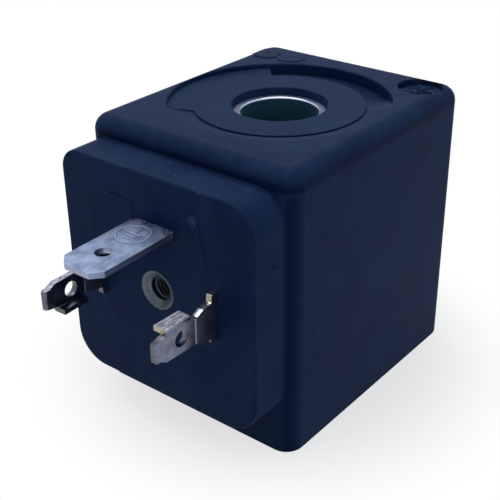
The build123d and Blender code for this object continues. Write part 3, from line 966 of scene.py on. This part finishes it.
def moulding(name, base, dark, light, marks=(), corner=False):
    """Satin dark plastic with clouds, streaks, speckle and dust, and marks at given places.

    With corner set, it adds torn plastic in the cup, painted shade beside the pad, and a painted
    shadow along the pad's top.
    """
    f = Finish(name, Specular_IOR_Level=0.03, IOR=1.5)
    clouds = f.noise(7.0, 3.0, 0.55)
    streaks = f.noise(1.6, 2.0, 0.5, stretch=(1, 1, 9), shift=3.0)
    speckle = f.noise(0.16, 1.0, 0.6, shift=7.0)
    tone = f.range(clouds * 0.55 + streaks * 0.2 + speckle * 0.25, 0.36, 0.62)
    paint = f.blend(tone, dark, light)
    paint = f.blend(0.7, base, paint)
    dust = f.range(f.noise(0.45, 1.0, 0.5, shift=21.0), 0.79, 0.83)
    paint = f.blend(dust * 0.5, paint, (80, 96, 128))
    # Marks: smudges, a nick, a dark scratch and specks of dust, and a painted highlight on the
    # scratch.
    for place, radius, strength, tint in marks:
        off = f.distance(place) + f.noise(0.5, 3.0, 0.6, shift=13.0) * radius
        rubbed = f.fade(off, radius, radius * 1.5)
        paint = f.blend(rubbed * strength, paint, tint)
    if corner:
        off = f.distance((*cup_at, block_height - cup_depth))
        in_cup = f.fade(off, cup_radius - 0.3, cup_radius + 0.3)
        torn = f.noise(0.6, 3.0, 0.65, shift=31.0)
        paint = f.blend(in_cup * f.range(torn, 0.5, 0.58) * 0.75, paint, (12, 18, 38))
        paint = f.blend(in_cup * f.fade(torn, 0.38, 0.44) * 0.6, paint, (82, 92, 120))
        y, z = f.axis("Y"), f.axis("Z")
        # Painted shade: the block's front beside the pad is darkened, where the pad shades it.
        aside = f.range(f.math("ABSOLUTE", f.axis("X")), 14.4, 15.0)
        deep_in = f.fade(y, -18.2, -16.4) * f.fade(z, pad_top - 1.5, pad_top)
        shade_beside_pad = aside * deep_in * f.range(y, -19.4, -18.8)
        paint = f.blend(shade_beside_pad * 0.6, paint, (8, 22, 50))
        # Painted shadow: a ragged dark band on the pad's top along the block, and on the block just
        # above it.
        ragged = y + f.noise(0.8, 3.0, 0.65, shift=41.0) * 0.9
        painted_shadow_band = f.range(z, pad_top - 0.5, pad_top - 0.1)
        painted_shadow_band = painted_shadow_band * f.fade(z, pad_top + 0.2, pad_top + 1.2)
        paint = f.blend(f.range(ragged, -19.5, -18.9) * painted_shadow_band * 0.7, paint, (10, 22, 50))
    rough = 0.5 + clouds * 0.12 - speckle * 0.06
    relief = f.noise(0.22, 3.0, 0.6, shift=11.0) * 0.7 + f.noise(2.5, 1.0, 0.5, shift=5.0) * 0.6
    return f.done(Base_Color=paint, Roughness=rough, Normal=f.bump(relief, 0.018))


marks_and_highlight_places = [
    ((6.1, -24.25, 32.2), 0.85, 0.28, (92, 108, 138)),
    ((7.1, -24.3, 35.95), 0.2, 0.6, (92, 108, 138)),
    ((14.95, -20.3, 27.4), 0.5, 0.7, (8, 14, 32)),
    ((14.95, -20.9, 28.1), 0.5, 0.7, (8, 14, 32)),
    # A painted highlight on the dark scratch on the pad's side.
    ((14.95, -20.3, 27.0), 0.25, 0.5, (70, 86, 118)),
    ((-0.97, -19.84, 36.0), 0.07, 1.0, (190, 205, 235)),
    ((2.08, -22.3, 36.0), 0.07, 1.0, (190, 205, 235)),
]
plastic = moulding("moulded_plastic", (26, 44, 76), (18, 35, 67), (34, 53, 84),
                   marks_and_highlight_places, True)
bobbin_plastic = moulding("bobbin_plastic", (55, 58, 62), (45, 48, 52),
                          (66, 68, 72))
wear(plastic, body, nodes["terminal_carrier"])
wear(bobbin_plastic, nodes["bobbin"])
print("plastics on", body.name, "terminal_carrier and bobbin")

# %% [markdown]
# ## Turned and plated steel
# The rings were turned and then zinc plated. The tool leaves circles round the axis, which
# noise of the distance from the axis draws as colour and relief.
# The chamfer where the tube enters is painted light, a painted highlight.

# %% Ring steel and yoke steel


def plated(name, bright, dull, marks, rough, inside=None):
    """Zinc-plated steel with fine marks and clouds, a painted highlight on the chamfer, and a
    colour for the bore's inside.
    """
    f = Finish(name, Metallic=1.0)
    lines = marks(f)
    clouds = f.noise(1.8, 3.0, 0.6)
    paint = f.blend(f.range(clouds * 0.6 + lines * 0.4, 0.3, 0.65), dull, bright)
    rough = rough + clouds * 0.12 - lines * 0.04
    metal = 1.0
    if inside is not None:
        z = f.axis("Z")
        entry = ring_top - ring_chamfer
        above = f.range(z, ring_chamfer, ring_chamfer + 0.1)
        # Painted highlight: the chamfer where the tube enters is painted light.
        cone = above * f.fade(z, ring_top - 0.05, ring_top - 0.01)
        paint = f.blend(cone, paint, (184, 192, 212))
        deep = above * f.fade(z, entry - 0.15, entry)
        paint = f.blend(deep, paint, inside)
        rough = rough + deep * 0.25 - cone * 0.15
        metal = 1.0 - deep * 0.75
    return f.done(Base_Color=paint, Roughness=rough, Metallic=metal, Normal=f.bump(lines, 0.004))


def turning_marks(f):
    """Circles round the bore, unevenly spaced."""
    radius = f.radius((0, 0, 0), (1, 1, 0))
    spot = f.node("CombineXYZ", values={"X": radius * 9.0, "Y": f.axis("Z") * 6.0, "Z": 0.0})
    return f.noise_at(spot, 3.0, 0.6)


def rolling_marks(f):
    """Streaks along the rolled strip."""
    return f.noise(0.3, 3.0, 0.6, stretch=(1, 12, 12))


ring_steel = plated("turned_zinc", (108, 120, 150), (84, 96, 126), turning_marks, 0.3,
                    inside=(45, 84, 102))
yoke_steel = plated("rolled_zinc", (185, 188, 195), (135, 138, 146), rolling_marks,
                    0.34)
wear(ring_steel, upper_ring, lower_ring)
wear(yoke_steel, nodes["yoke_frame"], nodes["ground_rivet"])
print("steel on the rings, the yoke and the rivet")

# %% [markdown]
# ## Tinned brass
# Tin is soft, so the blades are mottled: bright and dull patches a millimetre across, rubbed
# streaks along the blade where connectors slid on, and bare brass showing at the cut edges of
# the folds. At the ground blade's root a thin flash of plastic has crept over the tin.
# Painted light is added too. The ground blade's tin is a lighter copy of the line blades', its
# end faces carry a painted highlight, its right side painted shade, and its stamped mark a
# painted highlight on top and painted shadow beside. The roots carry painted shade on their
# sides and painted highlights on their steps and crease, and the right blade's upper cut faces
# are bare brass lightened as a painted highlight.

# %% Blade metal


def marked_lines(f, paint):
    """The stamped ring and bars, with a painted highlight on top and a painted shadow beside them.
    """
    off = f.math("ABSOLUTE", f.radius((0, mark_at, 0), (1, 1, 0)) - mark_radius) - mark_line / 2
    x, y = f.axis("X"), f.axis("Y")
    for left, right, near_end, far_end in bars:
        middle = ((left + right) / 2, mark_at + (near_end + far_end) / 2)
        across = f.math("ABSOLUTE", x - middle[0]) - (right - left) / 2
        along = f.math("ABSOLUTE", y - middle[1]) - (far_end - near_end) / 2
        off = f.math("MINIMUM", off, f.math("MAXIMUM", across, along))
    paint = f.blend(f.range(off, 0.03, 0.16, 0.55, 0.0), paint, (88, 101, 133))
    return f.blend(f.range(off, -0.03, 0.02, 0.8, 0.0), paint, (170, 184, 211))


def tinned(name, bright, dull, cut, rough, flash=None, crease=None):
    """Tinned strip whose end faces take another colour, partly as a painted highlight.

    With flash it adds a flash of plastic, painted shade on the right side and the stamped mark;
    with crease, painted highlights on the roots' steps and the crease, and painted shade on the
    roots.
    """
    f = Finish(name, Metallic=1.0)
    patches = f.noise(1.7, 3.0, 0.55)
    rubbed = f.noise(0.22, 3.0, 0.6, stretch=(1, 8, 1), shift=4.0)
    pits = f.range(f.noise(0.3, 2.0, 0.6, shift=9.0), 0.64, 0.76)
    paint = f.blend(f.range(patches * 0.75 + rubbed * 0.25, 0.36, 0.64), dull, bright)
    paint = f.blend(pits * 0.3, paint, (80, 84, 98))
    end_face = f.fade(f.facing("Y"), -0.9, -0.6)
    rough = rough + patches * 0.1 + pits * 0.12
    metal = 1.0
    if crease is not None:
        # The right blade's upper cut faces are cream: bare brass, lightened as a painted highlight.
        high_up = f.range(f.axis("Z"), screw_height + 1.2, screw_height + 1.45)
        right_one = f.range(f.axis("X"), 0, 1)
        cut = f.blend(high_up * right_one, cut, (178, 171, 142))
        bend = (8.9, pad_face - lip_end, screw_height + fold_foot)
        bend_corner = f.fade(f.distance(bend), 0.3, 0.75)
        cut = f.blend(bend_corner * right_one * 0.8, cut, (112, 112, 62))
        # Painted highlight: the tops of the roots' steps are painted near white.
        root_part = f.range(f.axis("Y"), crease - 0.3, crease)
        top_face = f.range(f.facing("Z"), 0.5, 0.9)
        paint = f.blend(top_face * root_part, paint, (206, 208, 218))
        fold_top = (top_face - top_face * root_part) * high_up
        worn = f.range(rubbed * 0.6 + f.noise(0.5, 3.0, 0.6, shift=17.0) * 0.4, 0.4, 0.6)
        fold_paint = f.blend(worn, (112, 118, 134), (184, 188, 200))
        paint = f.blend(fold_top, paint, fold_paint)
        # Painted shade: the rest of the roots is darker than the blades.
        shaded_root_side = root_part - root_part * top_face
        rough = rough + fold_top * 0.35 + shaded_root_side * 0.14
        paint = f.blend(shaded_root_side * 0.6, paint, (82, 90, 116))
    # End faces take the cut colour; on the ground blade it is a lighter tin, a painted highlight.
    paint = f.blend(end_face * 0.75, paint, cut)
    if flash is not None:
        depth = f.axis("Y") - pad_face
        corner = f.range(f.axis("X"), 1.2, 3.2, 0.0, 0.5)
        creep = f.range(depth + f.noise(0.9, 3.0, 0.65, shift=2.0) * 2.4 + corner, 0.45, 0.8)
        creep = creep * f.range(f.noise(0.45, 3.0, 0.7, shift=15.0), 0.36, 0.52, 0.35, 1.0)
        paint = f.blend(creep, paint, flash)
        metal = 1.0 - creep * 0.9
        rough = rough + creep * 0.3
        # Painted shade: the ground blade's right side is darker.
        sides = f.range(f.facing("X"), 0.6, 0.95)
        paint = f.blend(sides * 0.85, paint, (66, 72, 98))
        paint = marked_lines(f, paint)
    # Painted highlight: a bright line along the crease between root and blade.
    if crease is not None:
        off = f.math("ABSOLUTE", f.axis("Y") - crease)
        paint = f.blend(f.range(off, 0.04, 0.12, 0.8, 0.0), paint, (225, 228, 240))
    relief = patches * 0.4 + rubbed * 0.3 - pits * 0.4
    return f.done(Base_Color=paint, Roughness=rough, Metallic=metal, Normal=f.bump(relief, 0.004))


# Painted light: the ground blade's tin is a lighter, bluer copy of the line blades' tin, as its top
# faces the lamp.
ground_metal = tinned("tinned_brass_lit_top", (148, 163, 193), (112, 127, 158),
                      (160, 165, 190), 0.46, flash=(26, 38, 62))
wear(ground_metal, ground)
line_metal = tinned("tinned_brass", (118, 123, 141), (90, 95, 113),
                    (88, 88, 84), 0.2, crease=pad_face - root_length)
wear(line_metal, right_blade, left_blade)
print("tin on the blades")

# %% [markdown]
# ## The insert, and what is hidden
# The insert is dull nickel over brass with turned circles round the screw's axis. Inside the
# block lie enamelled wire, yellow tape, woven sleeve and solder. They show only if the part is
# taken apart, and each still has the grain of its own material.
# The insert's hole is darker deeper in, as painted shade.

# %% Insert metal


def nickel():
    """Dull nickel with circles round the screw, and painted shade deeper in the hole."""
    f = Finish("dull_nickel", Metallic=1.0)
    radius = f.radius((0, 0, screw_height), (1, 0, 1))
    spot = f.node("CombineXYZ", values={"X": radius * 8.0, "Y": 0.0, "Z": 0.0})
    lines = f.noise_at(spot, 3.0, 0.7)
    clouds = f.noise(0.5, 3.0, 0.65)
    tone = f.range(clouds * 0.35 + lines * 0.65, 0.36, 0.62)
    paint = f.blend(tone, (58, 66, 75), (93, 102, 111))
    # Painted shade: deeper in the hole the nickel is darker.
    deep = f.range(f.axis("Y"), pad_face + 0.7, pad_face + 1.3)
    paint = f.blend(deep * 0.75, paint, (40, 46, 62))
    return f.done(Base_Color=paint, Roughness=0.34 + clouds * 0.16, Normal=f.bump(lines, 0.006))


wear(nickel(), insert)

# %% Wire, tape, sleeve and solder


def wire_finish(name, base, bright, metallic, pitch):
    """Enamelled wire, or another thing made of fine lines laid one above another."""
    f = Finish(name, Metallic=metallic)
    line = f.math("SINE", f.axis("Z") * (2 * pi / pitch)) * 0.5 + 0.5
    clouds = f.noise(1.2, 2.0, 0.5)
    paint = f.blend(line * 0.5 + clouds * 0.5, base, bright)
    return f.done(Base_Color=paint, Roughness=0.32 + clouds * 0.2, Normal=f.bump(line, 0.03))


def mottled(name, base, bright, size, metallic, rough):
    """Plain finish with soft clouds and a fine grain."""
    f = Finish(name, Metallic=metallic)
    clouds = f.noise(size, 3.0, 0.6)
    grain = f.noise(size / 8, 2.0, 0.6, shift=6.0)
    paint = f.blend(f.range(clouds * 0.7 + grain * 0.3, 0.35, 0.65), base, bright)
    return f.done(Base_Color=paint, Roughness=rough + clouds * 0.15, Normal=f.bump(grain, 0.01))


copper = wire_finish("enamelled_copper", (150, 78, 40), (214, 130, 84), 0.9, 0.12)
woven = wire_finish("woven_sleeve", (190, 182, 160), (232, 226, 208), 0.0, 0.2)
tape = mottled("polyester_tape", (196, 160, 60), (222, 188, 84), 4.0, 0.0, 0.25)
solder = mottled("solder", (158, 160, 166), (206, 208, 214), 0.5, 1.0, 0.2)
hidden = {
    copper: ("winding", "start_lead", "finish_lead"),
    woven: ("start_lead_sleeve", "finish_lead_sleeve"),
    tape: ("winding_tape",),
    solder: ("start_solder_joint", "finish_solder_joint"),
}
for material, names in hidden.items():
    wear(material, *(nodes[name] for name in names))
print("hidden finishes:", sorted(m.name for m in hidden))

# %% [markdown]
# ## Floor, lamps and world
# The coil stands on a pale floor under one broad lamp, as in a plain light tent. The world is
# dim for the light that it casts but white for what the camera and the metal see, which Light
# Path tells apart. The floor keeps the coil's shadow near it and turns plain white further out.

# %% Floor
floor_half = 1.5
shadow_reach = 0.017
white_reach = 0.038
nearest_white = 0.7

deselect()
bpy.ops.mesh.primitive_grid_add(x_subdivisions=8, y_subdivisions=8, size=2 * floor_half,
                                location=(0, 0, -0.05 * MM))
floor = named("floor")


def mix_seen(tree, first, second, end, mask=None):
    """Ends a tree in a mix of two shaders, the second where seen directly or where masked."""
    mix = tree.nodes.new("ShaderNodeMixShader")
    tree.links.new(mask or seen_directly(tree), mix.inputs[0])
    tree.links.new(first.outputs[0], mix.inputs[1])
    tree.links.new(second.outputs[0], mix.inputs[2])
    tree.links.new(mix.outputs[0], tree.nodes[end].inputs[0])


def seen_directly(tree):
    """1 for the camera's rays and for those mirrored or let through, and else 0."""
    path = tree.nodes.new("ShaderNodeLightPath")
    total = path.outputs["Is Camera Ray"]
    for name in ("Is Glossy Ray", "Is Transmission Ray"):
        add = tree.nodes.new("ShaderNodeMath")
        add.operation = "ADD"
        add.use_clamp = True
        tree.links.new(total, add.inputs[0])
        tree.links.new(path.outputs[name], add.inputs[1])
        total = add.outputs[0]
    return total


f = Finish("floor", Roughness=0.9, Specular_IOR_Level=0.0)
away = f.distance((0, 0, 0))
far_off = f.range(away, shadow_reach / MM, white_reach / MM, nearest_white, 1.0)
grain = f.noise(60.0, 2.0, 0.5)
pale = f.blend(grain, (0.52, 0.55, 0.58, 1), (0.55, 0.58, 0.61, 1))
floor_material = f.done(Base_Color=pale)
white = f.tree.nodes.new("ShaderNodeEmission")
mask = far_off * Shade(f, seen_directly(f.tree))
mix_seen(f.tree, f.shader, white, "Material Output", mask.socket)
wear(floor_material, floor)

# %% World
sky = (0.7, 0.86, 1.04, 1.0)
sky_strength = 0.32

world = bpy.data.worlds.new("studio")
scene.world = world
world.use_nodes = True
tree = world.node_tree
dim = tree.nodes["Background"]
dim.inputs[0].default_value = sky
dim.inputs[1].default_value = sky_strength
bright = tree.nodes.new("ShaderNodeBackground")
bright.inputs[0].default_value = (1, 1, 1, 1)
mix_seen(tree, dim, bright, "World Output")

# %% Lamps


def lamp(name, place, size, power, tint=(1, 1, 1)):
    """Square soft lamp that looks at the coil's middle."""
    light = bpy.data.lights.new(name, "AREA")
    light.size = size
    light.energy = power
    light.color = tint
    holder = bpy.data.objects.new(name, light)
    scene.collection.objects.link(holder)
    holder.location = place
    aim = Vector((0, 0, 0.02)) - Vector(place)
    holder.rotation_euler = aim.to_track_quat("-Z", "Y").to_euler()


lamp("overhead", (-0.12, 0.04, 0.82), 0.7, 4.0, (1.0, 0.97, 0.97))
lamp("right_side", (0.8, -0.05, 0.3), 0.4, 0.32, (0.6, 0.85, 1.0))
scene.view_settings.view_transform = "Standard"
print("stage set")
